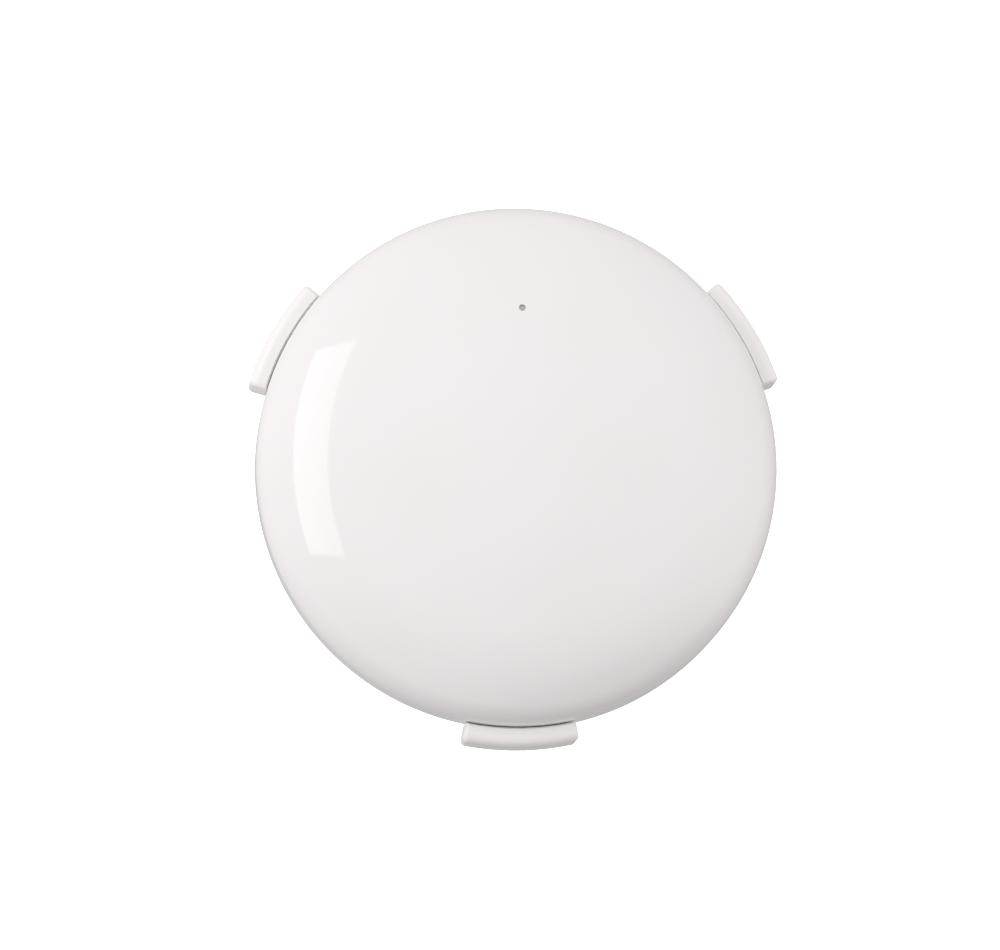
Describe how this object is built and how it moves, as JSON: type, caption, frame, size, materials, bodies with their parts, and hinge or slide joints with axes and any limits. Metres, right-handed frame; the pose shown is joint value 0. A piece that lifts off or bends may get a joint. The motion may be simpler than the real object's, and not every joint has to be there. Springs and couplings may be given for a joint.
{
  "type": "bluetooth tracker tag",
  "caption": "Round domed tracker tag with a pressing gloss cover, a light pinhole, rim grip lugs, and a screw-off back over a coin cell.",
  "frame": {"origin": "centre of the flat back face", "axes": "+Z out through the dome, +Y from the centre towards the light hole, one rim lug a degree from -Y"},
  "size_m": [0.0407, 0.0415, 0.012],
  "materials": {
    "cover_white": "high gloss moulded",
    "back_white": "soft gloss moulded",
    "frame_white": "moulded, fine matt",
    "clear_pc": "clear, polished",
    "silicone_grey": "matt silicone",
    "silicone_white": "matt silicone",
    "board_laminate": "solder mask over copper",
    "screw_steel": "zinc plated",
    "chip_black": "moulded epoxy",
    "button_black": "moulded nylon",
    "tinned_copper": "tinned",
    "spring_steel": "rolled spring strip",
    "crystal_can": "nickel plated lid",
    "antenna_ceramic": "glazed ceramic",
    "led_lens": "cast epoxy",
    "sounder_black": "moulded liquid crystal polymer",
    "diaphragm_brass": "rolled brass",
    "capacitor_ceramic": "fired ceramic with tinned ends",
    "polyimide_film": "amber film",
    "contact_gold": "gold plated phosphor bronze",
    "cell_steel": "nickel plated, satin",
    "cell_gasket_black": "moulded polypropylene",
    "cell_core_grey": "pressed powder",
    "foam_black": "fine cell foam"
  },
  "bodies": {
    "housing": {"inner_frame": "frame_white", "cover_gasket": "silicone_white", "circuit_board": "board_laminate", "board_screws": "screw_steel", "switch_housing": "chip_black", "switch_terminals": "tinned_copper", "switch_snap_dome": "spring_steel", "radio_chip": "chip_black", "timing_crystal": "crystal_can", "motion_sensor": "chip_black", "chip_antenna": "antenna_ceramic", "status_led": "led_lens", "sounder_case": "sounder_black", "sounder_diaphragm": "diaphragm_brass", "board_capacitors": "capacitor_ceramic", "board_resistors": "chip_black", "board_insulator": "polyimide_film", "negative_contact": "contact_gold", "positive_contact": "contact_gold"},
    "cover": {"top_cover": "cover_white", "light_pipe": "clear_pc", "switch_pad": "silicone_grey"},
    "switch_button": {"switch_plunger": "button_black"},
    "coin_cell": {"cell_can": "cell_steel", "cell_gasket": "cell_gasket_black", "cell_cap": "cell_steel", "cell_core": "cell_core_grey"},
    "back_seal": {"back_o_ring": "silicone_grey"},
    "back": {"back_cover": "back_white", "battery_pad": "foam_black"}
  },
  "joints": [
    {"name": "cover_press", "type": "slide", "parent": "housing", "child": "cover", "axis": [0, 0, -1], "range_m": [0, 0.0002], "stiffness_N_per_m": 8000, "springref_m": -0.00005, "deforming": ["cover_gasket"]},
    {"name": "switch_press", "type": "slide", "parent": "housing", "child": "switch_button", "axis": [0, 0, -1], "range_m": [0, 0.0002], "deforming": ["switch_snap_dome"]},
    {"name": "cell_rise", "type": "slide", "parent": "housing", "child": "coin_cell", "axis": [0, 0, -1], "range_m": [0, 0.0005], "deforming": ["negative_contact"]},
    {"name": "back_lift", "type": "slide", "parent": "housing", "child": "back_seal", "axis": [0, 0, -1], "range_m": [0, 0.0016]},
    {"name": "back_twist", "type": "hinge", "parent": "back_seal", "child": "back", "pos_m": [0, 0, 0], "axis": [0, 0, -1], "range_deg": [0, 60]}
  ],
  "couplings": [
    {"joint": "switch_press", "follows": "cover_press", "ratio": 1},
    {"joint": "back_lift", "follows": "back_twist", "m_per_rad": 0.0015278},
    {"joint": "cell_rise", "follows": "back_twist", "m_per_rad": 0.00047746}
  ]
}
